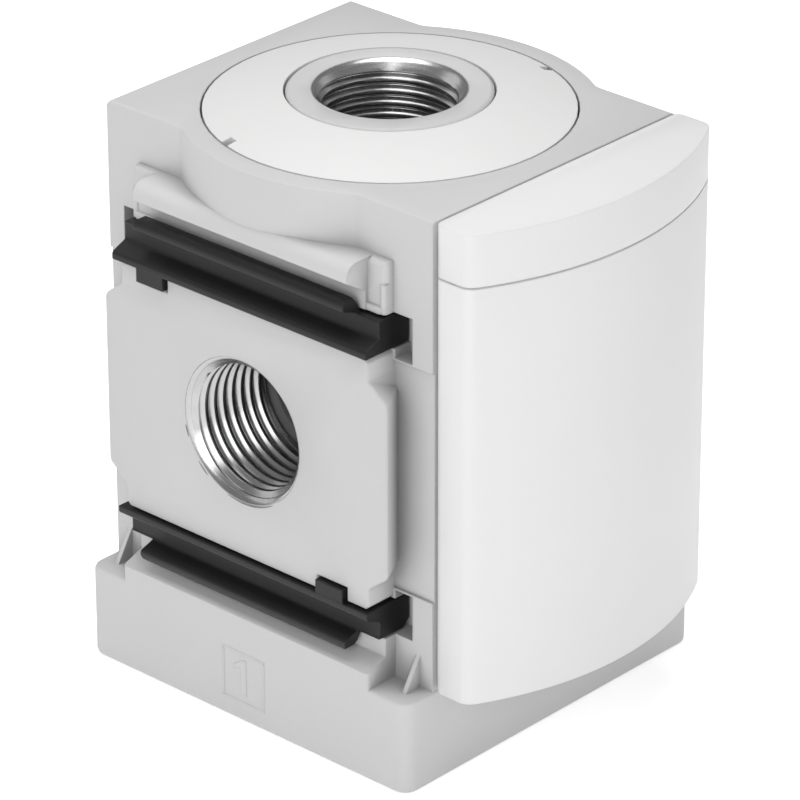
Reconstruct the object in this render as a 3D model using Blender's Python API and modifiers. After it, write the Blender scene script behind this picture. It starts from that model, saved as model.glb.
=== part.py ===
"""Branching module for a compressed-air service unit, 62 mm grid.

A die-cast housing carries four threaded ports: one on each side pad, one on
top and one underneath. Domed cap discs close the recesses round the vertical
ports, a two-piece curved cover closes the front, and four black rails in the
sides take the clamps that join one module to the next.

Everything is placed from the vertical port axis, in metres, +Z up. Heights on
the sides are mirrored about the height of the side ports.
"""

import math

import bmesh
import bpy
from mathutils import Matrix, Vector

MM = 0.001
MICRON = 0.000001

# Clearance that neighbouring pieces keep where they meet
FIT = 0.3 * MM
# How far a cutter runs past the face it cuts, and a joined form sinks in
OVER = 1.0 * MM
# Step that keeps two faces out of one plane where forms are joined
HAIR = 0.02 * MM

# The square grid that modules of this size are built on
GRID_HALF_X = 31.0 * MM

# Housing walls
WALL_INSET = 5.8 * MM
WALL_HALF_X = GRID_HALF_X - WALL_INSET
WALL_HALF_Y = GRID_HALF_X
WALL_EDGE = 0.7 * MM

# Base flange, as wide as the grid
FLANGE_OUT = 0.4 * MM
FLANGE_HALF_Y = WALL_HALF_Y + FLANGE_OUT
FLANGE_Z = 14.4 * MM
FLANGE_CORNER = 2.2 * MM
FLANGE_EDGE = 0.6 * MM

# Side pads; distances with V run up and down from the middle of the pads
PAD_INSET = 0.7 * MM
PAD_X = GRID_HALF_X - PAD_INSET
PAD_MARGIN = 3.9 * MM
PAD_HALF_Y = WALL_HALF_Y - PAD_MARGIN
PAD_HALF_Z = 19.35 * MM
PAD_SHOULDER = 6.05 * MM
PAD_STRAIGHT_HALF_Z = PAD_HALF_Z - PAD_SHOULDER
PAD_CHAMFER = 3.4 * MM
PAD_CHAMFER_HEIGHT = 2.7 * MM
PAD_CORNER = 1.2 * MM
PAD_NECK_HALF_Y = PAD_HALF_Y - PAD_CHAMFER
PAD_NECK_CUT = 0.6 * MM
PAD_EDGE = 0.25 * MM
PAD_PLATE = 0.4 * MM
PAD_PLATE_X = PAD_X - PAD_PLATE
PAD_UNDERCUT = 3.2 * MM

# Shallow waist of the walls beside the pads
WAIST_DEPTH = 0.4 * MM
WAIST_MARGIN = 1.7 * MM
WAIST_HALF_Z = PAD_HALF_Z - WAIST_MARGIN

# Middle of the side ports, slots and rails, a little off the pads' middle
SIDE_Y = 0.4 * MM

# Slots in the walls that hold the rails
SLOT_DEPTH = 3.3 * MM
SLOT_X = WALL_HALF_X - SLOT_DEPTH
SLOT_MARGIN = 0.55 * MM
SLOT_HALF_Y = PAD_HALF_Y + SLOT_MARGIN
SLOT_OVERLAP = 1.4 * MM
SLOT_END_V = PAD_HALF_Z - SLOT_OVERLAP
SLOT_HEIGHT = 5.55 * MM

# Jaws above and below the rails
JAW_OUT = 2.1 * MM
JAW_FACE_X = WALL_HALF_X + JAW_OUT
JAW_ROOT_V = PAD_HALF_Z + SLOT_HEIGHT
JAW_FACE_HEIGHT = 2.85 * MM
JAW_SLOPE_V = JAW_ROOT_V + JAW_FACE_HEIGHT
UPPER_SLOPE = 2.25 * MM
UPPER_LIP_V = JAW_SLOPE_V + UPPER_SLOPE
LOWER_SLOPE = 1.35 * MM
LOWER_LIP_V = JAW_SLOPE_V + LOWER_SLOPE

# Rails
RAIL_BACK_GAP = 0.4 * MM
RAIL_BACK_X = SLOT_X + RAIL_BACK_GAP
RAIL_LIP_X = GRID_HALF_X
RAIL_CHANNEL_DEPTH = 2.7 * MM
RAIL_CHANNEL_X = RAIL_LIP_X - RAIL_CHANNEL_DEPTH
RAIL_END_GAP = 3.3 * MM
RAIL_HALF_Y = SLOT_HALF_Y - RAIL_END_GAP
RAIL_LIP = 1.1 * MM
RAIL_LIP_SLOPE = 1.1 * MM
RAIL_ROUND = 0.6 * MM
RAIL_TOP_GAP = FIT
RAIL_TOP_V = JAW_ROOT_V - RAIL_TOP_GAP
RAIL_BACK_CHAMFER = 1.2 * MM
RIDGE_SHORTER = 4.2 * MM
RIDGE_HALF_Y = RAIL_HALF_Y - RIDGE_SHORTER
RIDGE_END = 1.0 * MM
RIDGE_FLANK = 0.9 * MM
RIDGE_FLANK_V = RAIL_TOP_V + RIDGE_FLANK
RIDGE_TIP = 1.7 * MM
RIDGE_ROUND = 1.1 * MM
RIDGE_TIP_V = RIDGE_FLANK_V + RIDGE_TIP
RIDGE_WEB = 2.0 * MM
RIDGE_SLOPE = 2.2 * MM
TAB_INSET = 4.7 * MM
TAB_LENGTH = 5.1 * MM
TAB_END_Y = RAIL_HALF_Y - TAB_INSET
TAB_START_Y = TAB_END_Y - TAB_LENGTH
TAB_HEIGHT = 2.1 * MM

# Rounding of the small cast forms on the sides
CAST_EDGE = 0.4 * MM

# Ledge over the upper jaw and sill under the lower one
LEDGE_LONGER = 0.35 * MM
LEDGE_HALF_Y = RIDGE_HALF_Y + LEDGE_LONGER
LEDGE_HEIGHT = 2.6 * MM
LEDGE_V = UPPER_LIP_V + LEDGE_HEIGHT
LEDGE_EDGE = 2.0 * MM
SILL_SHORTER = 0.25 * MM
SILL_HALF_Y = RAIL_HALF_Y - SILL_SHORTER
SILL_HEIGHT = 2.5 * MM
SILL_V = LOWER_LIP_V + SILL_HEIGHT

# Pilasters, ribs and gussets beside the jaws
PILASTER_OUT = 1.5 * MM
PILASTER_EDGE = 0.8 * MM
PILASTER_X = WALL_HALF_X + PILASTER_OUT
PILASTER_SHORTER = 0.1 * MM
PILASTER_HALF_Y = RAIL_HALF_Y - PILASTER_SHORTER
RIB_OUT = 0.25 * MM
RIB_WIDTH = 1.1 * MM
RIB_INSET = HAIR
RIB_Y = PILASTER_HALF_Y - RIB_INSET - RIB_WIDTH / 2
RIB_HEIGHT = 4.5 * MM
RIB_V = JAW_ROOT_V + RIB_HEIGHT
SHELF_BACK = 0.15 * MM
SHELF_X = JAW_FACE_X - SHELF_BACK
SHELF_HEIGHT = 1.1 * MM
GUSSET_MARGIN = 1.3 * MM
GUSSET_Y = PAD_HALF_Y + GUSSET_MARGIN
GUSSET_WIDTH = 0.75 * MM
GUSSET_REACH = 3.0 * MM
GUSSET_HEIGHT = 5.0 * MM

# Heights above the underside
PAD_MIDDLE_Z = FLANGE_Z + SILL_V
PORT_RISE = 0.35 * MM
AXIS_Z = PAD_MIDDLE_Z + PORT_RISE
CROWN_HEIGHT = 7.8 * MM
TOP_Z = PAD_MIDDLE_Z + LEDGE_V + CROWN_HEIGHT

# Cap discs, with the round bulge of the top and the recess under the base
DISC_INSET = 4.6 * MM
DISC_RADIUS = GRID_HALF_X - DISC_INSET
DISC_RISE = 2.6 * MM
DISC_RIM = 2.0 * MM
NOTCH_WIDTH = 1.5 * MM
NOTCH_DEPTH = 1.5 * MM
NOTCH_ANGLE = 162.5
BULGE_WALL = 3.8 * MM
BULGE_RADIUS = DISC_RADIUS + BULGE_WALL
BULGE_FILLET = 3.0 * MM
SKIRT_GAP = 1.6 * MM
SKIRT_RADIUS = DISC_RADIUS + SKIRT_GAP

# Ports with a G1/2 thread, and the bores that join them
THREAD_MAJOR = 20.955 * MM
THREAD_DEPTH = 15.0 * MM
PORT_CHAMFER = THREAD_MAJOR + 1.145 * MM
CHAMFER_DEPTH = 0.25 * MM
BORE = THREAD_MAJOR - 2.555 * MM
RISER = BORE - 0.2 * MM
CHAMBER = BORE + 3.6 * MM

# Bosses that stand through the cap discs
BOSS_WALL = 3.65 * MM
BOSS_RADIUS = PORT_CHAMFER / 2 + BOSS_WALL
BOSS_RISE = 2.75 * MM
BOSS_EDGE = 0.4 * MM

# Front cover
COVER_OUT = 0.15 * MM
COVER_HALF_X = WALL_HALF_X + COVER_OUT
COVER_SIDE = 6.4 * MM
COVER_CORNER_Y = WALL_HALF_Y + COVER_SIDE
COVER_ARC = 49.0 * MM
COVER_BASE_Z = FLANGE_Z + FIT
COVER_CAP = 7.7 * MM
COVER_JOINT_Z = TOP_Z - COVER_CAP
COVER_WALL = 2.2 * MM
COVER_CORNER = 1.2 * MM
COVER_EDGE = 0.8 * MM
COVER_BASE_EDGE = 0.3 * MM
COVER_SEAM = 0.4 * MM

ROUND_STEPS = 64

COVER_FRONT_Y = (
    COVER_CORNER_Y
    + COVER_ARC
    - math.sqrt(COVER_ARC ** 2 - COVER_HALF_X ** 2)
)
# The footprint is centred on the origin, so the port axis lies behind it
PORT_Y = (COVER_FRONT_Y - FLANGE_HALF_Y) / 2

PARTS = "branching_module"
CUTTERS = "branching_module_cutters"


def clear_scene():
    for obj in list(bpy.data.objects):
        bpy.data.objects.remove(obj, do_unlink=True)
    for name in (PARTS, CUTTERS):
        old = bpy.data.collections.get(name)
        if old is not None:
            bpy.data.collections.remove(old)


def new_collection(name):
    made = bpy.data.collections.new(name)
    bpy.context.scene.collection.children.link(made)
    return made


def material(name, colour, roughness, metallic=0.0):
    made = bpy.data.materials.new(name)
    made.use_nodes = True
    shader = made.node_tree.nodes["Principled BSDF"]
    shader.inputs["Base Color"].default_value = (*colour, 1.0)
    shader.inputs["Roughness"].default_value = roughness
    shader.inputs["Metallic"].default_value = metallic
    made.diffuse_color = (*colour, 1.0)
    return made


def arc(cx, cy, radius, start, end, steps):
    """Points on an arc, angles in degrees, both ends included."""
    points = []
    for i in range(steps + 1):
        angle = math.radians(start + (end - start) * i / steps)
        points.append((cx + radius * math.cos(angle), cy + radius * math.sin(angle)))
    return points


def rounded(corners, steps):
    """Outline from (x, y, radius) corners, with each corner turned into an arc."""
    points = []
    count = len(corners)
    for i, (x, y, radius) in enumerate(corners):
        if radius == 0:
            points.append((x, y))
            continue
        corner = Vector((x, y))
        before = (Vector(corners[i - 1][:2]) - corner).normalized()
        after = (Vector(corners[(i + 1) % count][:2]) - corner).normalized()
        half = before.angle(after) / 2
        centre = corner + (before + after).normalized() * (radius / math.sin(half))
        start = corner + before * (radius / math.tan(half)) - centre
        turn = start.angle_signed(corner + after * (radius / math.tan(half)) - centre)
        for k in range(steps + 1):
            angle = -turn * k / steps
            points.append(tuple(centre + Matrix.Rotation(angle, 2) @ start))
    return points


def settle(bm):
    """Put points on whole micrometres, so that shared planes are one plane."""
    for vert in bm.verts:
        for i in range(3):
            vert.co[i] = round(vert.co[i] / MICRON) * MICRON


def to_mesh(obj):
    """Replace a curve by its welded mesh, under the same name."""
    bpy.context.view_layer.update()
    evaluated = obj.evaluated_get(bpy.context.evaluated_depsgraph_get())
    mesh = bpy.data.meshes.new_from_object(evaluated)
    name = obj.name
    place = obj.matrix_world.copy()
    bpy.data.objects.remove(obj, do_unlink=True)
    bm = bmesh.new()
    bm.from_mesh(mesh)
    bmesh.ops.remove_doubles(bm, verts=bm.verts, dist=1e-6)
    bmesh.ops.transform(bm, matrix=place, verts=bm.verts)
    bmesh.ops.recalc_face_normals(bm, faces=bm.faces)
    settle(bm)
    bm.to_mesh(mesh)
    bm.free()
    mesh.name = name
    return bpy.data.objects.new(name, mesh)


# How an outline drawn in X and Y is stood up for each direction of its depth
ALONG_Z = Matrix.Identity(4)
ALONG_Y = Matrix.Rotation(math.radians(90), 4, "X")
ALONG_X = Matrix(((0, 0, 1, 0), (1, 0, 0, 0), (0, 1, 0, 0), (0, 0, 0, 1)))


def slab(name, outline, start, end, stand=ALONG_Z):
    """Flat outline given thickness from start to end along its axis.

    With ALONG_Y the outline is (x, z), with ALONG_X it is (y, z).
    """
    curve = bpy.data.curves.new(name, "CURVE")
    curve.dimensions = "2D"
    curve.fill_mode = "BOTH"
    curve.extrude = abs(end - start) / 2
    spline = curve.splines.new("POLY")
    spline.points.add(len(outline) - 1)
    for point, (u, v) in zip(spline.points, outline):
        point.co = (u, v, 0, 1)
    spline.use_cyclic_u = True
    obj = bpy.data.objects.new(name, curve)
    cutters.objects.link(obj)
    middle = (start + end) / 2
    if stand is ALONG_Y:
        obj.matrix_world = Matrix.Translation((0, middle, 0)) @ stand
    elif stand is ALONG_X:
        obj.matrix_world = Matrix.Translation((middle, 0, 0)) @ stand
    else:
        obj.matrix_world = Matrix.Translation((0, 0, middle))
    return to_mesh(obj)


def block(name, x0, x1, y0, y1, z0, z1):
    mesh = bpy.data.meshes.new(name)
    bm = bmesh.new()
    bmesh.ops.create_cube(bm, size=1)
    size = Matrix.Diagonal((abs(x1 - x0), abs(y1 - y0), abs(z1 - z0), 1))
    place = Matrix.Translation(((x0 + x1) / 2, (y0 + y1) / 2, (z0 + z1) / 2))
    bmesh.ops.transform(bm, matrix=place @ size, verts=bm.verts)
    settle(bm)
    bm.to_mesh(mesh)
    bm.free()
    return bpy.data.objects.new(name, mesh)


def turned(name, profile, axis="Z", place=(0, 0, 0)):
    """Closed profile of (radius, height), run down its outer side."""
    mesh = bpy.data.meshes.new(name)
    bm = bmesh.new()
    verts = [bm.verts.new((r, 0, h)) for r, h in profile]
    for a, b in zip(verts, verts[1:]):
        bm.edges.new((a, b))
    if profile[0][0] > 0:
        bm.edges.new((verts[-1], verts[0]))
    bm.to_mesh(mesh)
    bm.free()
    obj = bpy.data.objects.new(name, mesh)
    screw = obj.modifiers.new("turn", "SCREW")
    screw.steps = ROUND_STEPS
    screw.render_steps = ROUND_STEPS
    screw.use_merge_vertices = True
    screw.merge_threshold = 0.00001
    screw.use_smooth_shade = False
    if axis == "X":
        obj.matrix_world = Matrix.Translation(place) @ Matrix.Rotation(math.radians(90), 4, "Y")
    elif axis == "-X":
        obj.matrix_world = Matrix.Translation(place) @ Matrix.Rotation(math.radians(-90), 4, "Y")
    elif axis == "-Z":
        obj.matrix_world = Matrix.Translation(place) @ Matrix.Rotation(math.radians(180), 4, "X")
    else:
        obj.matrix_world = Matrix.Translation(place)
    return obj


def bevel(obj, width, segments=2, angle=30):
    made = obj.modifiers.new("edge", "BEVEL")
    made.width = width
    made.segments = segments
    made.limit_method = "ANGLE"
    made.angle_limit = math.radians(angle)
    made.use_clamp_overlap = True
    return made


def round_edges(obj, width, segments, wanted):
    """Round the edges whose two end points and length pass the test."""
    bm = bmesh.new()
    bm.from_mesh(obj.data)
    found = []
    for edge in bm.edges:
        if edge.calc_face_angle(0) > 0.1 and wanted(edge.verts[0].co, edge.verts[1].co):
            found.append(edge)
    bmesh.ops.bevel(
        bm, geom=found, offset=width, segments=segments, profile=0.5, affect="EDGES"
    )
    bm.to_mesh(obj.data)
    bm.free()


def upright(a, b):
    return abs(a.z - b.z) > 2 * MM


def at(value, target):
    return abs(value - target) < 5 * MICRON


def combine(target, other, operation):
    """Apply a helper solid, which stays in the cutters' collection."""
    if other.name not in cutters.objects:
        cutters.objects.link(other)
    other.hide_render = True
    other.display_type = "WIRE"
    made = target.modifiers.new(other.name, "BOOLEAN")
    made.operation = operation
    made.solver = "EXACT"
    made.object = other
    bake(target)


def join(target, *others):
    for other in others:
        combine(target, other, "UNION")


def cut(target, *others):
    for other in others:
        combine(target, other, "DIFFERENCE")


def finish(obj, look):
    obj.data.materials.clear()
    obj.data.materials.append(look)
    parts.objects.link(obj)
    obj.parent = unit


def shade(obj, angle=28):
    obj.data.shade_smooth()
    obj.data.set_sharp_from_angle(angle=math.radians(angle))


def weld(mesh):
    """Close the hairline gaps between points that should be one point."""
    bm = bmesh.new()
    bm.from_mesh(mesh)
    bmesh.ops.remove_doubles(bm, verts=bm.verts, dist=MICRON)
    bmesh.ops.dissolve_degenerate(bm, edges=bm.edges, dist=MICRON)
    bm.to_mesh(mesh)
    bm.free()


def bake(obj):
    """Fix the modifiers into the mesh, so that others can be cut with it."""
    if not obj.users_collection:
        cutters.objects.link(obj)
    bpy.context.view_layer.update()
    evaluated = obj.evaluated_get(bpy.context.evaluated_depsgraph_get())
    mesh = bpy.data.meshes.new_from_object(evaluated)
    mesh.transform(obj.matrix_world)
    weld(mesh)
    old = obj.data
    obj.modifiers.clear()
    obj.data = mesh
    obj.matrix_world = Matrix.Identity(4)
    bpy.data.meshes.remove(old)
    return obj


def side_profile(points, side, up):
    """Turn (distance outwards, distance from the side port) into (x, z)."""
    return [(side * x, PAD_MIDDLE_Z + up * v) for x, v in points]


# Housing


def crown_outline():
    """Outline of the top: the walls, with a round bulge past each side."""
    reach = BULGE_RADIUS + BULGE_FILLET
    centre_x = WALL_HALF_X + BULGE_FILLET
    centre_y = math.sqrt(reach ** 2 - centre_x ** 2)
    lean = math.degrees(math.atan2(centre_y, centre_x))
    right = [(WALL_HALF_X, -WALL_HALF_Y)]
    right += arc(centre_x, -centre_y, BULGE_FILLET, 180, 180 - lean, 5)
    right += arc(0, 0, BULGE_RADIUS, -lean, lean, 20)[1:-1]
    right += arc(centre_x, centre_y, BULGE_FILLET, 180 + lean, 180, 5)
    right.append((WALL_HALF_X, WALL_HALF_Y))
    return right + [(-x, -y) for x, y in right]


def pad_edge(side, up, reach):
    """Upper or lower half of a pad's corners, from its +Y to its -Y side."""
    neck = PAD_NECK_HALF_Y
    high = PAD_HALF_Z
    low = high - TAB_HEIGHT
    turn = rail_turn(side, up)
    start = SIDE_Y + turn * (TAB_START_Y - FIT)
    end = SIDE_Y + turn * (TAB_END_Y + FIT)
    notch = [(max(start, end), high), (max(start, end), low)]
    notch += [(min(start, end), low), (min(start, end), high)]
    corners = [
        (reach, PAD_STRAIGHT_HALF_Z, PAD_CORNER),
        (neck, PAD_STRAIGHT_HALF_Z + PAD_CHAMFER_HEIGHT, PAD_CORNER / 2),
        (neck, high - PAD_NECK_CUT, 0),
        (neck - PAD_NECK_CUT, high, 0),
    ]
    corners += [(y, v, 0) for y, v in notch]
    corners += [(-y, v, radius) for y, v, radius in reversed(corners[:4])]
    return [(y, PAD_MIDDLE_Z + up * v, radius) for y, v, radius in corners]


def pad_outline(side, reach):
    """Pad round a side port as (y, z), with the notches for the rails' tabs."""
    upper = pad_edge(side, 1, reach)
    lower = pad_edge(side, -1, reach)
    return rounded(upper + list(reversed(lower)), 3)


def make_pad(name, side):
    """Pad with a thin straight rim and an undercut below its wide part."""
    foot_x = WALL_HALF_X - OVER
    foot_y = PAD_HALF_Y - PAD_UNDERCUT
    levels = (
        (PAD_X, pad_outline(side, PAD_HALF_Y)),
        (PAD_PLATE_X, pad_outline(side, PAD_HALF_Y)),
        (foot_x, pad_outline(side, foot_y)),
    )
    bm = bmesh.new()
    rings = [[bm.verts.new((side * x, y, z)) for y, z in outline] for x, outline in levels]
    for outer, inner in zip(rings, rings[1:]):
        for i in range(len(outer)):
            bm.faces.new((outer[i - 1], outer[i], inner[i], inner[i - 1]))
    bmesh.ops.triangulate(bm, faces=bm.faces)
    bm.faces.new(rings[0])
    bm.faces.new(reversed(rings[-1]))
    bmesh.ops.recalc_face_normals(bm, faces=bm.faces)
    settle(bm)
    mesh = bpy.data.meshes.new(name)
    bm.to_mesh(mesh)
    bm.free()
    return bpy.data.objects.new(name, mesh)


def jaw_profile(lip_v, end_v, edge):
    """Jaw over a rail, with the vertical face, the slope and the lip."""
    root_v = JAW_ROOT_V - OVER
    corners = [
        (WALL_HALF_X - OVER, root_v, 0),
        (JAW_FACE_X, root_v, 0),
        (JAW_FACE_X, JAW_SLOPE_V, 0),
        (GRID_HALF_X, lip_v, 0),
        (GRID_HALF_X, end_v, edge),
        (WALL_HALF_X - OVER, end_v, 0),
    ]
    return rounded(corners, 4)


def slot_outline(up):
    """Slot in a wall that takes a rail, deeper into the waist at its ends."""
    near = SIDE_Y - SLOT_HALF_Y
    far = SIDE_Y + SLOT_HALF_Y
    neck = PAD_NECK_HALF_Y + FIT
    points = [
        (near, JAW_ROOT_V),
        (near, SLOT_END_V),
        (-neck, SLOT_END_V),
        (-neck, PAD_HALF_Z),
        (neck, PAD_HALF_Z),
        (neck, SLOT_END_V),
        (far, SLOT_END_V),
        (far, JAW_ROOT_V),
    ]
    return [(y, PAD_MIDDLE_Z + up * v) for y, v in points]


def port_cutter(name, axis, place):
    """Chamfer, thread bore and plain bore, with the mouth at height zero."""
    mouth = PORT_CHAMFER / 2
    major = THREAD_MAJOR / 2
    throat = BORE / 2 - OVER
    slope = (mouth - major) / CHAMFER_DEPTH
    profile = [
        (0, OVER),
        (mouth + slope * OVER, OVER),
        (major, -CHAMFER_DEPTH),
        (major, -THREAD_DEPTH),
        (throat, -THREAD_DEPTH - (major - throat)),
        (0, -THREAD_DEPTH - (major - throat)),
    ]
    return turned(name, profile, axis, place)


def ring_cutter(name, outer, inner, low, high):
    return bake(turned(name, [(outer, high), (outer, low), (inner, low), (inner, high)]))


def proud(a, b, x):
    """Whether an edge lies in the outer face of a small cast form."""
    return at(abs(a.x), x) and at(abs(b.x), x)


def outer_ends(a, b):
    """Whether an edge stands upright at an end of a ledge or sill."""
    return proud(a, b, GRID_HALF_X) and at(a.y, b.y)


def make_housing(look):
    body = block(
        "housing",
        -WALL_HALF_X,
        WALL_HALF_X,
        -WALL_HALF_Y,
        WALL_HALF_Y,
        FLANGE_Z - 2 * OVER,
        PAD_MIDDLE_Z + LEDGE_V + OVER,
    )
    crown = slab("crown", crown_outline(), PAD_MIDDLE_Z + LEDGE_V - OVER, TOP_Z)
    round_edges(
        crown,
        WALL_EDGE,
        2,
        lambda a, b: at(a.z, TOP_Z)
        and at(b.z, TOP_Z)
        and not (at(a.y, -WALL_HALF_Y) and at(b.y, -WALL_HALF_Y)),
    )
    join(body, crown)

    for side in (-1, 1):
        tag = "left" if side < 0 else "right"
        ledge = slab(
            f"ledge_{tag}",
            side_profile(jaw_profile(UPPER_LIP_V, LEDGE_V, LEDGE_EDGE), side, 1),
            -LEDGE_HALF_Y,
            LEDGE_HALF_Y,
            ALONG_Y,
        )
        round_edges(ledge, CAST_EDGE, 2, outer_ends)
        join(body, ledge)
        sill = slab(
            f"sill_{tag}",
            side_profile(jaw_profile(LOWER_LIP_V, SILL_V + OVER, 0), side, -1),
            -SILL_HALF_Y,
            SILL_HALF_Y,
            ALONG_Y,
        )
        round_edges(sill, CAST_EDGE, 2, outer_ends)
        join(body, sill)
        pilaster = block(
            f"pilaster_{tag}",
            side * (WALL_HALF_X - 2 * OVER),
            side * PILASTER_X,
            SIDE_Y - PILASTER_HALF_Y,
            SIDE_Y + PILASTER_HALF_Y,
            PAD_MIDDLE_Z + JAW_ROOT_V - 0.8 * OVER,
            PAD_MIDDLE_Z + LEDGE_V - HAIR,
        )
        round_edges(pilaster, PILASTER_EDGE, 3, lambda a, b: proud(a, b, PILASTER_X))
        join(body, pilaster)
        for end in (-1, 1):
            rib = block(
                f"rib_{tag}_{end}",
                side * (WALL_HALF_X - 0.5 * OVER),
                side * (PILASTER_X + RIB_OUT),
                SIDE_Y + end * (RIB_Y - RIB_WIDTH / 2),
                SIDE_Y + end * (RIB_Y + RIB_WIDTH / 2),
                PAD_MIDDLE_Z + JAW_ROOT_V - 0.6 * OVER,
                PAD_MIDDLE_Z + RIB_V,
            )
            round_edges(rib, CAST_EDGE, 2, lambda a, b: proud(a, b, PILASTER_X + RIB_OUT))
            join(body, rib)
            shelf = block(
                f"shelf_{tag}_{end}",
                side * (WALL_HALF_X - 0.7 * OVER),
                side * SHELF_X,
                end * (LEDGE_HALF_Y - CAST_EDGE - OVER),
                SIDE_Y + end * (RIB_Y - HAIR),
                PAD_MIDDLE_Z + JAW_ROOT_V - 0.7 * OVER,
                PAD_MIDDLE_Z + JAW_ROOT_V + SHELF_HEIGHT,
            )
            round_edges(shelf, CAST_EDGE, 2, lambda a, b: proud(a, b, SHELF_X))
            join(body, shelf)
            wall = WALL_HALF_X
            gusset = slab(
                f"gusset_{tag}_{end}",
                [
                    (side * (wall - OVER), FLANGE_Z - OVER),
                    (side * (wall + GUSSET_REACH), FLANGE_Z - OVER),
                    (side * (wall + GUSSET_REACH), FLANGE_Z),
                    (side * wall, FLANGE_Z + GUSSET_HEIGHT),
                    (side * (wall - OVER), FLANGE_Z + GUSSET_HEIGHT),
                ],
                end * (GUSSET_Y - GUSSET_WIDTH / 2),
                end * (GUSSET_Y + GUSSET_WIDTH / 2),
                ALONG_Y,
            )
            join(body, gusset)

    flange = block(
        "flange", -GRID_HALF_X, GRID_HALF_X, -FLANGE_HALF_Y, FLANGE_HALF_Y, 0, FLANGE_Z
    )
    round_edges(flange, FLANGE_CORNER, 4, upright)
    bevel(flange, FLANGE_EDGE, 2, 50)
    join(body, bake(flange))

    for side in (-1, 1):
        tag = "left" if side < 0 else "right"
        for up in (-1, 1):
            level = "lower" if up < 0 else "upper"
            slot = slab(
                f"slot_{tag}_{level}",
                slot_outline(up),
                side * SLOT_X,
                side * (GRID_HALF_X + OVER),
                ALONG_X,
            )
            cut(body, slot)
        for end in (-1, 1):
            waist = block(
                f"waist_{tag}_{end}",
                side * (WALL_HALF_X - WAIST_DEPTH),
                side * (WALL_HALF_X + OVER),
                end * (PAD_NECK_HALF_Y - OVER),
                end * (WALL_HALF_Y + OVER),
                PAD_MIDDLE_Z - WAIST_HALF_Z,
                PAD_MIDDLE_Z + WAIST_HALF_Z,
            )
            cut(body, waist)
        pad = make_pad(f"pad_{tag}", side)
        front = side * PAD_X
        round_edges(pad, PAD_EDGE, 2, lambda a, b: at(a.x, front) and at(b.x, front))
        join(body, pad)

    skirt = turned(
        "skirt_recess",
        [(0, AXIS_Z - (TOP_Z - AXIS_Z)), (SKIRT_RADIUS, AXIS_Z - (TOP_Z - AXIS_Z)),
         (SKIRT_RADIUS, -OVER), (0, -OVER)],
    )
    cut(body, bake(skirt))
    recess = DISC_RADIUS + FIT
    floor = DISC_RIM + FIT
    for up in (-1, 1):
        level = "lower" if up < 0 else "upper"
        face = AXIS_Z + up * (TOP_Z - AXIS_Z)
        cut(
            body,
            ring_cutter(
                f"disc_recess_{level}",
                recess,
                BOSS_RADIUS - OVER,
                min(face - up * floor, face + up * OVER),
                max(face - up * floor, face + up * OVER),
            ),
        )
        boss = turned(
            f"boss_{level}",
            [
                (0, BOSS_RISE),
                (BOSS_RADIUS - BOSS_EDGE, BOSS_RISE),
                (BOSS_RADIUS, BOSS_RISE - BOSS_EDGE),
                (BOSS_RADIUS, -floor - OVER),
                (0, -floor - OVER),
            ],
            "Z" if up > 0 else "-Z",
            (0, 0, face),
        )
        join(body, bake(boss))
        cut(
            body,
            bake(
                port_cutter(
                    f"port_{level}", "Z" if up > 0 else "-Z", (0, 0, face + up * BOSS_RISE)
                )
            ),
        )
    for side in (-1, 1):
        tag = "left" if side < 0 else "right"
        cut(
            body,
            bake(
                port_cutter(
                    f"port_{tag}", "X" if side > 0 else "-X", (side * PAD_X, SIDE_Y, AXIS_Z)
                )
            ),
        )
    through = turned(
        "through_bore",
        [(0, PAD_X - OVER), (BORE / 2, PAD_X - OVER), (BORE / 2, OVER - PAD_X), (0, OVER - PAD_X)],
        "X",
        (0, SIDE_Y, AXIS_Z),
    )
    high = TOP_Z - AXIS_Z - OVER
    reach = CHAMBER / 2
    chamber = turned(
        "vertical_bore",
        [
            (0, high),
            (RISER / 2, high),
            (RISER / 2, reach),
            (reach, reach),
            (reach, -reach),
            (RISER / 2, -reach),
            (RISER / 2, -high),
            (0, -high),
        ],
        "Z",
        (0, 0, AXIS_Z),
    )
    cut(body, bake(chamber), bake(through))
    bake(body)
    cutters.objects.unlink(body)
    shade(body)
    finish(body, look)
    return body


# Rails


def rail_turn(side, up):
    """Side of the port, in Y, on which this rail's tab lies."""
    return -side * up


def rail_profile():
    """Section of a rail as (distance outwards, distance from the middle)."""
    base = PAD_HALF_Z + FIT
    lip = base + RAIL_LIP
    back = RAIL_BACK_X
    ridge_back = JAW_FACE_X + FIT
    corners = [
        (back, base, 0),
        (RAIL_LIP_X, base, 0),
        (RAIL_LIP_X, lip, RAIL_ROUND),
        (RAIL_CHANNEL_X, lip + RAIL_LIP_SLOPE, RAIL_ROUND),
        (RAIL_CHANNEL_X, RAIL_TOP_V, RAIL_ROUND),
        (RAIL_LIP_X, RIDGE_FLANK_V, RAIL_ROUND / 2),
        (RAIL_LIP_X, RIDGE_TIP_V, RIDGE_ROUND),
        (RAIL_LIP_X - RIDGE_WEB, RIDGE_TIP_V, RIDGE_ROUND / 2),
        (ridge_back, RIDGE_TIP_V - RIDGE_SLOPE, 0),
        (ridge_back, RAIL_TOP_V, 0),
        (back + RAIL_BACK_CHAMFER, RAIL_TOP_V, 0),
        (back, RAIL_TOP_V - RAIL_BACK_CHAMFER, 0),
    ]
    return rounded(corners, 4)


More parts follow.
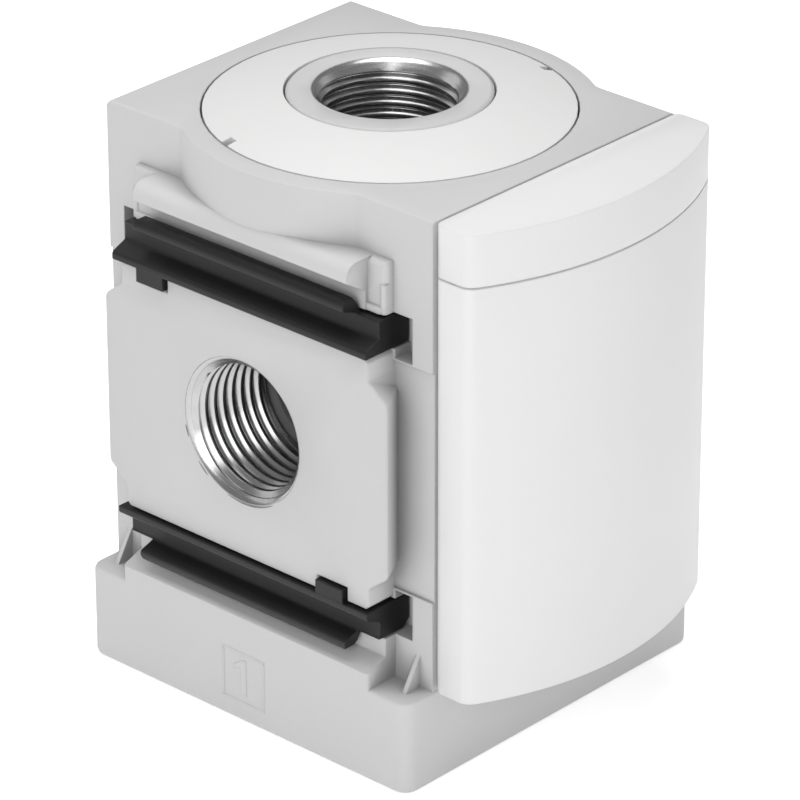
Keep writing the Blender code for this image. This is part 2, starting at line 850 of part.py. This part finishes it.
def make_rail(name, side, up, look):
    rail = slab(
        name,
        side_profile(rail_profile(), side, up),
        SIDE_Y - RAIL_HALF_Y,
        SIDE_Y + RAIL_HALF_Y,
        ALONG_Y,
    )
    turn = rail_turn(side, up)
    base = PAD_HALF_Z + FIT
    tab = block(
        f"{name}_tab",
        side * (RAIL_CHANNEL_X + 10 * HAIR),
        side * (RAIL_LIP_X - HAIR),
        SIDE_Y + turn * TAB_START_Y,
        SIDE_Y + turn * TAB_END_Y,
        PAD_MIDDLE_Z + up * (base - TAB_HEIGHT),
        PAD_MIDDLE_Z + up * (base + RAIL_LIP / 2),
    )
    join(rail, tab)
    for end in (-1, 1):
        outline = [
            (RIDGE_HALF_Y, RAIL_TOP_V - HAIR),
            (RIDGE_HALF_Y, RIDGE_TIP_V - RIDGE_END),
            (RIDGE_HALF_Y - RIDGE_END / 4, RIDGE_TIP_V - RIDGE_END / 3),
            (RIDGE_HALF_Y - RIDGE_END, RIDGE_TIP_V),
            (RIDGE_HALF_Y - RIDGE_END, RIDGE_TIP_V + OVER),
            (RAIL_HALF_Y + OVER, RIDGE_TIP_V + OVER),
            (RAIL_HALF_Y + OVER, RAIL_TOP_V - HAIR),
        ]
        clip = slab(
            f"{name}_end_{end}",
            [(SIDE_Y + end * y, PAD_MIDDLE_Z + up * v) for y, v in outline],
            side * (JAW_FACE_X - OVER),
            side * (RAIL_LIP_X + OVER),
            ALONG_X,
        )
        cut(rail, clip)
    bake(rail)
    cutters.objects.unlink(rail)
    shade(rail)
    finish(rail, look)
    return rail


# Cap discs


def make_disc(name, up, look):
    inner = BOSS_RADIUS + FIT
    outer = DISC_RADIUS
    rise = DISC_RISE
    steps = 8
    dome = []
    for i in range(steps + 1):
        part = i / steps
        radius = inner + (outer - inner) * part
        dome.append((radius, rise * (1 - part) * (1 + 0.35 * part)))
    profile = dome + [(outer, -DISC_RIM), (inner, -DISC_RIM)]
    face = AXIS_Z + up * (TOP_Z - AXIS_Z)
    disc = bake(turned(name, profile, "Z" if up > 0 else "-Z", (0, 0, face)))
    for turn in (0, 180):
        notch = block(
            f"{name}_notch_{turn}",
            outer - NOTCH_DEPTH,
            outer + OVER,
            -NOTCH_WIDTH / 2,
            NOTCH_WIDTH / 2,
            face - 2 * DISC_RIM,
            face + 2 * DISC_RIM,
        )
        notch.data.transform(Matrix.Rotation(math.radians(NOTCH_ANGLE + turn), 4, "Z"))
        cut(disc, notch)
    bake(disc)
    cutters.objects.unlink(disc)
    shade(disc)
    finish(disc, look)
    return disc


# Front cover


def cover_outline(inset, back_y):
    """D-shaped plan of the cover, drawn inside its surface by the inset."""
    half = COVER_HALF_X - inset
    radius = COVER_ARC - inset
    centre_y = COVER_ARC - COVER_FRONT_Y
    start = math.degrees(math.asin(half / radius))
    points = [(half, back_y)]
    front = arc(0, centre_y, radius, 270 + start, 270 - start, 28)
    points += front
    points.append((-half, back_y))
    return points


def make_cover(name, low, high, closed_top, look):
    back = -WALL_HALF_Y - COVER_SEAM
    shell = slab(name, cover_outline(0, back), low, high)
    round_edges(shell, COVER_CORNER, 3, upright)
    bevel(shell, COVER_EDGE if closed_top else COVER_BASE_EDGE, 2, 50)
    inside_low = low - OVER if closed_top else low + COVER_WALL
    inside_high = high - COVER_WALL if closed_top else high + OVER
    inside = slab(
        f"{name}_inside", cover_outline(COVER_WALL, back + OVER), inside_low, inside_high
    )
    cutters.objects.link(shell)
    bake(shell)
    cut(shell, inside)
    return shell


def make_covers(look_panel, look_cap):
    panel = make_cover(
        "front_cover", COVER_BASE_Z, COVER_JOINT_Z - FIT, False, look_panel
    )
    cap = make_cover("front_cover_cap", COVER_JOINT_Z, TOP_Z, True, look_cap)
    for piece, look in ((panel, look_panel), (cap, look_cap)):
        bake(piece)
        cutters.objects.unlink(piece)
        shade(piece)
        finish(piece, look)


clear_scene()
parts = new_collection(PARTS)
cutters = new_collection(CUTTERS)

unit = bpy.data.objects.new("port_axis", None)
unit.location = (0, PORT_Y, 0)
parts.objects.link(unit)

cast = material("cast_light_grey", (0.62, 0.62, 0.62), 0.5, 0.0)
disc_plastic = material("disc_plastic", (0.80, 0.80, 0.79), 0.45)
cover_plastic = material("cover_plastic", (0.84, 0.84, 0.83), 0.4)
cap_plastic = material("cover_cap_plastic", (0.85, 0.85, 0.84), 0.4)
rail_plastic = material("rail_plastic", (0.03, 0.03, 0.03), 0.45)

make_housing(cast)
make_disc("top_cap_disc", 1, disc_plastic)
make_disc("bottom_cap_disc", -1, disc_plastic)
make_covers(cover_plastic, cap_plastic)
for side_name, side_sign in (("left", -1), ("right", 1)):
    for level_name, level_sign in (("upper", 1), ("lower", -1)):
        make_rail(f"rail_{side_name}_{level_name}", side_sign, level_sign, rail_plastic)
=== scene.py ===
import math

import bmesh
import bpy
from mathutils import Matrix, Vector


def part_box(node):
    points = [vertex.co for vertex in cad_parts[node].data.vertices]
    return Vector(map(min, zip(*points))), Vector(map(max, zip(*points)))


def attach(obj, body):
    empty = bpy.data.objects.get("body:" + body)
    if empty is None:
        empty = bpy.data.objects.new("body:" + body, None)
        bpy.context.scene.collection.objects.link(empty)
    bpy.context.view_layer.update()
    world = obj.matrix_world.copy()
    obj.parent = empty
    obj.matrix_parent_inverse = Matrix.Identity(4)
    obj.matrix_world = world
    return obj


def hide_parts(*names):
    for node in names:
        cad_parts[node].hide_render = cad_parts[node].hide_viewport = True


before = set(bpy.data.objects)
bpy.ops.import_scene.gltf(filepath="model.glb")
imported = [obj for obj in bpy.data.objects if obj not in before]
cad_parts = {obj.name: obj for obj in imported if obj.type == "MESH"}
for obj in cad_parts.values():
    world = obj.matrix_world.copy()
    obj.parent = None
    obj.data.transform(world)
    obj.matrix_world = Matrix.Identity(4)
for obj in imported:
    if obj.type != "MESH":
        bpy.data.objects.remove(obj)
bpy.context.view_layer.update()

MM = 0.001
WELD = 1e-6

# Ports: heights and axes from the frame, thread sizes of G1/2
disc_low, disc_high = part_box("top_cap_disc")
housing_low, housing_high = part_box("housing")
PORT_Y = (disc_low.y + disc_high.y) / 2
BOSS_Z = housing_high.z
BASE_BOSS_Z = 3.55 * MM
AXIS_Z = (BOSS_Z + BASE_BOSS_Z) / 2
PAD_X = 30.3 * MM
SIDE_PORT_OFFSET = 0.4 * MM
SIDE_PORT_Y = PORT_Y + SIDE_PORT_OFFSET
MAJOR = 20.955 / 2 * MM
PITCH = 1.814 * MM
MOUTH_CHAMFER = 0.57 * MM


# ---------------------------------------------------------------- meshes


def link(obj):
    bpy.context.scene.collection.objects.link(obj)
    return obj


def smooth(obj, angle=30):
    obj.data.shade_smooth()
    obj.data.set_sharp_from_angle(angle=math.radians(angle))
    return obj


def new_piece(name, verts, faces):
    mesh = bpy.data.meshes.new(name)
    mesh.from_pydata(verts, [], faces)
    mesh.validate()
    return link(bpy.data.objects.new(name, mesh))


def lifted(node, name):
    """Copy of a CAD node with its flat faces joined up again."""
    bm = bmesh.new()
    bm.from_mesh(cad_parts[node].data)
    bmesh.ops.remove_doubles(bm, verts=bm.verts, dist=WELD)
    bmesh.ops.dissolve_limit(
        bm, angle_limit=math.radians(0.5), verts=bm.verts, edges=bm.edges
    )
    bm.verts.index_update()
    verts = [v.co[:] for v in bm.verts]
    faces = [[v.index for v in f.verts] for f in bm.faces]
    bm.free()
    return new_piece(name, verts, faces)


def bevel(obj, width, segments, angle):
    made = obj.modifiers.new("edge", "BEVEL")
    made.width = width
    made.segments = segments
    made.limit_method = "ANGLE"
    made.angle_limit = math.radians(angle)
    made.use_clamp_overlap = True
    made.harden_normals = False
    return obj


def lathe(name, profile):
    """Ring from a closed profile of (radius, height), about the port axis."""
    steps = 128
    verts, faces = [], []
    count = len(profile)
    for i in range(steps):
        angle = 2 * math.pi * i / steps
        for r, h in profile:
            verts.append((r * math.cos(angle), r * math.sin(angle), h))
    for i in range(steps):
        j = (i + 1) % steps
        for k in range(count):
            m = (k + 1) % count
            faces.append((i * count + k, j * count + k, j * count + m, i * count + m))
    return new_piece(name, verts, faces)


def place(obj, matrix):
    obj.data.transform(matrix)
    return obj


def to_mouth(place_at, angle, axis):
    """Turn and move from the origin, mouth up, to a port."""
    return Matrix.Translation(place_at) @ Matrix.Rotation(angle, 4, axis)


MOUTHS = {
    "top": Matrix.Translation((0, PORT_Y, BOSS_Z)),
    "base": to_mouth((0, PORT_Y, BASE_BOSS_Z), math.pi, "X"),
    "left": to_mouth((-PAD_X, SIDE_PORT_Y, AXIS_Z), -math.pi / 2, "Y"),
    "right": to_mouth((PAD_X, SIDE_PORT_Y, AXIS_Z), math.pi / 2, "Y"),
}


# ---------------------------------------------------------------- materials


# How far the painted shade in crevices looks for the object's own walls
PAINTED_SHADE_REACH = 7 * MM


def surface(
    name, dark, light, rough, metallic=0.0,
    patch=120.0, grain=2600.0, grain_depth=0.01 * MM, edge=0.35 * MM, wear_gain=0.3,
    worn=None, specular=0.5, painted_shade=0.0,
):
    """Material with patchy colour, fine grain, soft worn edges and painted shade darkening
    its crevices.
    """
    made = bpy.data.materials.new(name)
    made.use_nodes = True
    tree = made.node_tree
    nodes, links = tree.nodes, tree.links
    shader = nodes["Principled BSDF"]
    shader.inputs["Metallic"].default_value = metallic
    shader.inputs["Specular IOR Level"].default_value = specular
    where = nodes.new("ShaderNodeTexCoord")

    def noise(scale, detail):
        node = nodes.new("ShaderNodeTexNoise")
        node.inputs["Scale"].default_value = scale
        node.inputs["Detail"].default_value = detail
        links.new(where.outputs["Object"], node.inputs["Vector"])
        return node

    patches = noise(patch, 4.0)
    fine = noise(grain, 3.0)

    blend = nodes.new("ShaderNodeMix")
    blend.data_type = "RGBA"
    blend.inputs["A"].default_value = (*dark, 1)
    blend.inputs["B"].default_value = (*light, 1)
    links.new(patches.outputs["Fac"], blend.inputs["Factor"])

    # worn edges: where the rounded normal leaves the true one
    soft = nodes.new("ShaderNodeBevel")
    soft.samples = 4
    soft.inputs["Radius"].default_value = edge
    true = nodes.new("ShaderNodeNewGeometry")
    dot = nodes.new("ShaderNodeVectorMath")
    dot.operation = "DOT_PRODUCT"
    links.new(soft.outputs["Normal"], dot.inputs[0])
    links.new(true.outputs["Normal"], dot.inputs[1])
    mask = nodes.new("ShaderNodeMapRange")
    mask.inputs["From Min"].default_value = 1.0
    mask.inputs["From Max"].default_value = 0.75
    mask.inputs["To Min"].default_value = 0.0
    mask.inputs["To Max"].default_value = wear_gain
    links.new(dot.outputs["Value"], mask.inputs["Value"])
    worn_blend = nodes.new("ShaderNodeMix")
    worn_blend.data_type = "RGBA"
    worn_blend.inputs["B"].default_value = (*(worn or light), 1)
    links.new(blend.outputs["Result"], worn_blend.inputs["A"])
    links.new(mask.outputs["Result"], worn_blend.inputs["Factor"])
    shaded = worn_blend
    # painted shade: colour darkened where the object's own walls stand close, in place of the
    # shade that falls there
    if painted_shade:
        shade_occlusion = nodes.new("ShaderNodeAmbientOcclusion")
        shade_occlusion.samples = 6
        shade_occlusion.only_local = True
        shade_occlusion.inputs["Distance"].default_value = PAINTED_SHADE_REACH
        shade_dim = nodes.new("ShaderNodeMapRange")
        shade_dim.inputs["From Min"].default_value = 0.3
        shade_dim.inputs["From Max"].default_value = 0.8
        shade_dim.inputs["To Min"].default_value = 1 - painted_shade
        links.new(shade_occlusion.outputs["AO"], shade_dim.inputs["Value"])
        shaded = nodes.new("ShaderNodeMix")
        shaded.data_type = "RGBA"
        shaded.blend_type = "MULTIPLY"
        shaded.inputs["Factor"].default_value = 1.0
        links.new(worn_blend.outputs["Result"], shaded.inputs["A"])
        links.new(shade_dim.outputs["Result"], shaded.inputs["B"])
    links.new(shaded.outputs["Result"], shader.inputs["Base Color"])

    rough_range = nodes.new("ShaderNodeMapRange")
    rough_range.inputs["To Min"].default_value = rough[0]
    rough_range.inputs["To Max"].default_value = rough[1]
    links.new(fine.outputs["Fac"], rough_range.inputs["Value"])
    links.new(rough_range.outputs["Result"], shader.inputs["Roughness"])

    bump = nodes.new("ShaderNodeBump")
    bump.inputs["Strength"].default_value = 1.0
    bump.inputs["Distance"].default_value = grain_depth
    links.new(fine.outputs["Fac"], bump.inputs["Height"])
    links.new(soft.outputs["Normal"], bump.inputs["Normal"])
    links.new(bump.outputs["Normal"], shader.inputs["Normal"])
    return made


def grey(value, warm=0.0):
    return (value + warm, value, value - warm)


# Cast paint with painted shade darkening its crevices
look_cast = surface(
    "cast_paint", grey(0.59), grey(0.615), (0.45, 0.6), patch=90, grain=3200,
    grain_depth=0.006 * MM, painted_shade=0.5,
)
look_disc = surface(
    "disc_satin", grey(0.755, 0.002), grey(0.775, 0.002), (0.42, 0.52), patch=60, grain=4200,
    grain_depth=0.006 * MM, edge=0.2 * MM,
)
look_cover = surface(
    "cover_satin", grey(0.785, 0.001), grey(0.805, 0.001), (0.36, 0.46), patch=45, grain=4200,
    grain_depth=0.006 * MM, edge=0.25 * MM,
)
look_rail = surface(
    "rail_black", grey(0.008), grey(0.014), (0.4, 0.55), patch=160, grain=3000,
    grain_depth=0.01 * MM, edge=0.35 * MM, worn=grey(0.04), wear_gain=0.5, specular=0.35,
)
look_metal = surface(
    "cut_metal", grey(0.42), grey(0.5), (0.2, 0.3), 1.0, patch=500, grain=1500,
    grain_depth=0.0015 * MM, edge=0.05 * MM,
)
look_bore = surface(
    "bored_metal", grey(0.3), grey(0.4), (0.35, 0.5), 0.7, patch=300, grain=1800,
    grain_depth=0.003 * MM, edge=0.1 * MM,
)
# Near-black grey that paints the shade in hollows: under the cap discs and deep in the top
# and base bores
look_painted_shade_dark = surface(
    "painted_shade_hollow", grey(0.09), grey(0.15), (0.6, 0.8), patch=200, grain=1500,
    grain_depth=0.03 * MM, edge=0.2 * MM,
)
# Blotches from near-black to light grey: partly the real paint edge, partly painted shade and
# painted highlights at a mouth's edge
look_lip_shade_and_glint = surface(
    "paint_edge_shade_and_glint", grey(0.04), grey(0.75), (0.35, 0.5), 0.3, patch=160, grain=2000,
    grain_depth=0.002 * MM, edge=0.05 * MM,
)
# Near-black crescents that stand in for the shade and dark reflection at a mouth's rim
look_rim_shade = surface(
    "painted_rim_shade", grey(0.08), grey(0.3), (0.4, 0.6), 0.3, patch=900, grain=2000,
    grain_depth=0.004 * MM, edge=0.05 * MM,
)


def wear(obj, look):
    obj.data.materials.clear()
    obj.data.materials.append(look)
    return obj


# ---------------------------------------------------------------- pieces

housing = smooth(wear(lifted("housing", "housing_casting"), look_cast))
METAL_SLOT, BORE_SLOT, SHADE_SLOT = 1, 2, 3
for look in (look_metal, look_bore, look_painted_shade_dark):
    housing.data.materials.append(look)

# Rings that tell the faces of the ports and recesses apart
MOUTH_RADIUS = 11.1 * MM
MOUTH_DEPTH = 1 * MM
BORE_RADIUS = 9.3 * MM
CONE_DEPTH = 14 * MM
RECESS_INSIDE = 14 * MM
RECESS_OUTSIDE = 26.8 * MM
RECESS_DEPTH = 2.8 * MM


def depth_in(c, along_x):
    """How deep a point lies below the mouths of its pair of ports."""
    if along_x:
        return PAD_X - abs(c.x)
    return (BOSS_Z - BASE_BOSS_Z) / 2 - abs(c.z - AXIS_Z)


def off_axis(c, along_x):
    """How far a point lies from the axis of a pair of ports."""
    if along_x:
        return math.hypot(c.y - SIDE_PORT_Y, c.z - AXIS_Z)
    return math.hypot(c.x, c.y - PORT_Y)


# Deepen the chamfer at the mouths to 45 degrees
for corner in housing.data.vertices:
    for along_x in (True, False):
        if abs(off_axis(corner.co, along_x) - MAJOR) < 0.03 * MM:
            deeper = MOUTH_CHAMFER - depth_in(corner.co, along_x)
            if 0 < deeper < MOUTH_CHAMFER:
                if along_x:
                    corner.co.x -= math.copysign(deeper, corner.co.x)
                else:
                    corner.co.z -= math.copysign(deeper, corner.co.z - AXIS_Z)

# Bare metal in the ports; painted shade, a near-black grey, under the cap discs and deep in
# the top and base bores
for face in housing.data.polygons:
    corners = [housing.data.vertices[i].co for i in face.vertices]
    for along_x in (True, False):
        wide = max(off_axis(c, along_x) for c in corners)
        deep = max(depth_in(c, along_x) for c in corners)
        shallow = min(depth_in(c, along_x) for c in corners)
        if wide < MOUTH_RADIUS:
            if deep < MOUTH_DEPTH:
                face.material_index = METAL_SLOT
            elif wide < BORE_RADIUS or shallow > CONE_DEPTH:
                face.material_index = BORE_SLOT if along_x else SHADE_SLOT
    rings = [off_axis(c, False) for c in corners]
    if min(rings) > RECESS_INSIDE and max(rings) < RECESS_OUTSIDE:
        if max(abs(c.z - AXIS_Z) for c in corners) < (BOSS_Z - AXIS_Z) - RECESS_DEPTH:
            face.material_index = SHADE_SLOT
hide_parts("housing")
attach(housing, "root")

for node, name in (("top_cap_disc", "top_disc"), ("bottom_cap_disc", "base_disc")):
    disc = smooth(wear(lifted(node, name), look_disc))
    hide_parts(node)
    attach(disc, "root")

for node, name, slot in (
    ("front_cover", "cover_panel", "cover_plastic"),
    ("front_cover_cap", "cover_cap", "cover_cap_plastic"),
):
    cover = smooth(wear(lifted(node, name), look_cover))
    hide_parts(node)
    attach(cover, "root")

for side in ("left", "right"):
    for level in ("upper", "lower"):
        copied = lifted(f"rail_{side}_{level}", f"{side}_{level}_rail")
        rail = smooth(wear(copied, look_rail))
        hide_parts(f"rail_{side}_{level}")
        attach(rail, "root")


# One pitch of the thread as (share of the pitch, share of the depth)
THREAD_FORM = (
    (0.0, 0.0), (0.17, 0.0), (0.2, 0.05), (0.43, 0.92), (0.46, 0.98),
    (0.5, 1.0), (0.54, 0.98), (0.57, 0.92), (0.8, 0.05), (0.83, 0.0),
)
THREAD_CREST = 9.55 * MM
THREAD_ROOT = MAJOR - 0.05 * MM
THREAD_DEPTH = 14.2 * MM
THREAD_START = math.radians(159)
THREAD_STEPS = 120
COUNTERSINK = MAJOR - 0.03 * MM


def thread(name, matrix):
    """Right-hand inside thread with a countersunk mouth and a run-out."""
    steps = THREAD_STEPS
    across = len(THREAD_FORM)
    turns = int(THREAD_DEPTH / PITCH) + 2
    verts, faces = [], []
    for i in range(steps * turns + 1):
        angle = THREAD_START - 2 * math.pi * i / steps
        for share, height in THREAD_FORM:
            depth = min(max((i / steps + share - 1) * PITCH, 0), THREAD_DEPTH)
            radius = THREAD_CREST + (THREAD_ROOT - THREAD_CREST) * height
            left = (THREAD_DEPTH - depth) / PITCH
            if left < 1:
                radius = THREAD_CREST + (radius - THREAD_CREST) * left
            radius = max(radius, COUNTERSINK - depth)
            x, y = radius * math.cos(angle), radius * math.sin(angle)
            verts.append((x, y, -depth - MOUTH_CHAMFER))
    for i in range(steps * turns):
        for k in range(across - 1):
            a = i * across + k
            faces.append((a, a + 1, a + across + 1, a + across))
        if i + steps < steps * turns:
            a = i * across + across - 1
            b = (i + steps) * across
            faces.append((a, b, b + across, a + across))
    piece = new_piece(name, verts, faces)
    bm = bmesh.new()
    bm.from_mesh(piece.data)
    bmesh.ops.remove_doubles(bm, verts=bm.verts, dist=WELD)
    bmesh.ops.dissolve_degenerate(bm, edges=bm.edges, dist=WELD)
    bm.to_mesh(piece.data)
    bm.free()
    place(piece, matrix)
    smooth(wear(piece, look_metal), 40)
    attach(piece, "root")


# Section of the edge round a mouth as (radius, height)
LIP_PROFILE = [
    (11.14 * MM, -0.03 * MM), (11.14 * MM, 0.012 * MM), (11.08 * MM, 0.02 * MM),
    (11.0 * MM, -0.03 * MM), (11.0 * MM, -0.06 * MM),
]


def lip(name, matrix):
    """Thin turned edge where the paint ends at a mouth; its blotchy colour is partly the real
    edge and partly painted shade and painted highlight.
    """
    piece = place(lathe(name, LIP_PROFILE), matrix)
    smooth(wear(piece, look_lip_shade_and_glint), 50)
    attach(piece, "root")


for tag, matrix in MOUTHS.items():
    thread(f"{tag}_thread", matrix)
    lip(f"{tag}_lip", matrix)


# Dark crescents of painted shade and painted dark reflection beside the left port's rim, as
# (start, end, radius, width), in degrees and millimetres
LEFT_RIM_SHADES = (
    (103, 113, 11.35, 0.3), (131, 144, 11.5, 0.28), (164, 212, 11.3, 0.3),
)
MARK_HEIGHT = 0.012 * MM


def mark(name, matrix, start, end, radius, width):
    """Thin dark crescent beside a mouth that paints the shade and dark reflection at its
    edge, angles in degrees.
    """
    steps = 16
    verts, faces = [], []
    for i in range(steps + 1):
        share = i / steps
        angle = math.radians(start + (end - start) * share)
        half = width / 2 * math.sin(math.pi * share) ** 0.5
        for r in (radius - half, radius + half):
            verts.append((r * math.cos(angle), r * math.sin(angle), MARK_HEIGHT))
    for i in range(steps):
        faces.append((2 * i, 2 * i + 1, 2 * i + 3, 2 * i + 2))
    piece = place(new_piece(name, verts, faces), matrix)
    wear(piece, look_rim_shade)
    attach(piece, "root")


for number, (start, end, radius, width) in enumerate(LEFT_RIM_SHADES):
    mark(f"left_mark_{number}", MOUTHS["left"], start, end, radius * MM, width * MM)


NUMBER_RISE = 0.11 * MM
FRAME_RISE = 0.08 * MM
MARK_EDGE = 0.05 * MM
MARK_SUNK = 0.05 * MM
NUMBER_OUTLINE = [
    (-0.45, 4.3), (-0.45, 10.1), (0.2, 10.1), (2.0, 9.0), (2.0, 8.1), (0.75, 8.8),
    (0.75, 4.3),
]
# Bars of the frame as (low y, high y, low z, high z), in millimetres
FRAME_BARS = {
    "low": (-4.05, 4.35, 2.85, 3.3), "high": (-4.05, 4.35, 10.85, 11.3),
    "near": (-4.05, -3.6, 3.3, 10.85), "far": (3.9, 4.35, 3.3, 10.85),
}


def raised(name, outline, rise):
    """Raised mark on the flange's -X face, outline as (y, z) in millimetres."""
    x = housing_low.x
    count = len(outline)
    verts = [(x + MARK_SUNK, PORT_Y + y * MM, z * MM) for y, z in outline]
    verts += [(x - rise, PORT_Y + y * MM, z * MM) for y, z in outline]
    faces = [tuple(range(count, 2 * count))]
    for i in range(count):
        j = (i + 1) % count
        faces.append((i, j, count + j, count + i))
    piece = new_piece(name, verts, faces)
    bm = bmesh.new()
    bm.from_mesh(piece.data)
    bmesh.ops.recalc_face_normals(bm, faces=bm.faces)
    bm.to_mesh(piece.data)
    bm.free()
    bevel(wear(piece, look_cast), MARK_EDGE, 2, 40)
    smooth(piece, 40)
    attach(piece, "root")


raised("port_number", NUMBER_OUTLINE, NUMBER_RISE)
for tag, (y0, y1, z0, z1) in FRAME_BARS.items():
    corners = [(y0, z0), (y0, z1), (y1, z1), (y1, z0)]
    raised(f"number_frame_{tag}", corners, FRAME_RISE)


# ---------------------------------------------------------------- studio

WORLD_LIGHT = 0.3
FLOOR_HALF = 3
FLOOR_LIFT = 0.45
LAMP_TARGET = (0, 0, 0.04)

# White floor that keeps the shadow: its lift is seen directly and in reflections
look_floor = bpy.data.materials.new("floor_white")
look_floor.use_nodes = True
floor_shader = look_floor.node_tree.nodes["Principled BSDF"]
floor_shader.inputs["Base Color"].default_value = (0.95, 0.95, 0.95, 1)
floor_shader.inputs["Roughness"].default_value = 0.8
floor_shader.inputs["Emission Color"].default_value = (1, 1, 1, 1)
floor_tree = look_floor.node_tree
ray = floor_tree.nodes.new("ShaderNodeLightPath")
total = ray.outputs["Is Camera Ray"]
for kind in ("Is Glossy Ray", "Is Transmission Ray"):
    either = floor_tree.nodes.new("ShaderNodeMath")
    either.operation = "MAXIMUM"
    floor_tree.links.new(total, either.inputs[0])
    floor_tree.links.new(ray.outputs[kind], either.inputs[1])
    total = either.outputs["Value"]
lift = floor_tree.nodes.new("ShaderNodeMath")
lift.operation = "MULTIPLY"
lift.inputs[1].default_value = FLOOR_LIFT
floor_tree.links.new(total, lift.inputs[0])
floor_tree.links.new(lift.outputs["Value"], floor_shader.inputs["Emission Strength"])

floor_corners = [
    (-FLOOR_HALF, -FLOOR_HALF, 0), (FLOOR_HALF, -FLOOR_HALF, 0),
    (FLOOR_HALF, FLOOR_HALF, 0), (-FLOOR_HALF, FLOOR_HALF, 0),
]
floor = new_piece("floor", floor_corners, [(0, 1, 2, 3)])
wear(floor, look_floor)


def area(name, location, size, power):
    """Square lamp that faces the object."""
    data = bpy.data.lights.new(name, "AREA")
    data.energy = power
    data.size = size
    lamp = link(bpy.data.objects.new(name, data))
    lamp.location = location
    lamp.rotation_mode = "QUATERNION"
    aim = Vector(LAMP_TARGET) - Vector(location)
    lamp.rotation_quaternion = aim.to_track_quat("-Z", "Y")


world = bpy.data.worlds.new("studio")
bpy.context.scene.world = world
world.use_nodes = True
back = world.node_tree.nodes["Background"]
back.inputs["Color"].default_value = (1, 1, 1, 1)
back.inputs["Strength"].default_value = WORLD_LIGHT

area("left_lamp", (-0.75, -0.35, 0.35), 0.6, 3.34)
area("front_lamp", (0.25, -0.85, 0.3), 0.6, 1.17)
area("top_lamp", (0.0, 0.1, 1.0), 0.7, 5.65)
area("right_lamp", (0.85, -0.3, 0.3), 0.6, 0.56)
area("back_lamp", (-0.2, 0.85, 0.4), 0.6, 0.83)

# Camera, fitted to the photograph's outline
AZIMUTH = 0.8263436
ELEVATION = 0.4518045
ROLL = math.radians(-0.1322)
DISTANCE = 0.7794975
LOOK_AT = Vector((0, PORT_Y, 0.05))
IMAGE_PX = 800
FOCAL_PX = 5440.34
SHIFT_X_PX = 9.5615
SHIFT_Y_PX = -61.0158
SENSOR_MM = 36
back_dir = Vector((
    -math.sin(AZIMUTH) * math.cos(ELEVATION),
    -math.cos(AZIMUTH) * math.cos(ELEVATION),
    math.sin(ELEVATION),
))
right = Vector((math.cos(AZIMUTH), -math.sin(AZIMUTH), 0))
up = back_dir.cross(right)
c, s = math.cos(ROLL), math.sin(ROLL)
axis_x, axis_y = c * right + s * up, -s * right + c * up
cam_data = bpy.data.cameras.new("camera")
cam_data.lens = FOCAL_PX * SENSOR_MM / IMAGE_PX
cam_data.sensor_width = SENSOR_MM
cam_data.shift_x = SHIFT_X_PX / IMAGE_PX
cam_data.shift_y = SHIFT_Y_PX / IMAGE_PX
cam_data.clip_start = 0.01
cam_data.clip_end = 20
camera = link(bpy.data.objects.new("camera", cam_data))
turn = Matrix((axis_x, axis_y, back_dir)).transposed().to_4x4()
camera.matrix_world = Matrix.Translation(LOOK_AT + back_dir * DISTANCE) @ turn
bpy.context.scene.camera = camera
bpy.context.scene.view_settings.view_transform = "Standard"
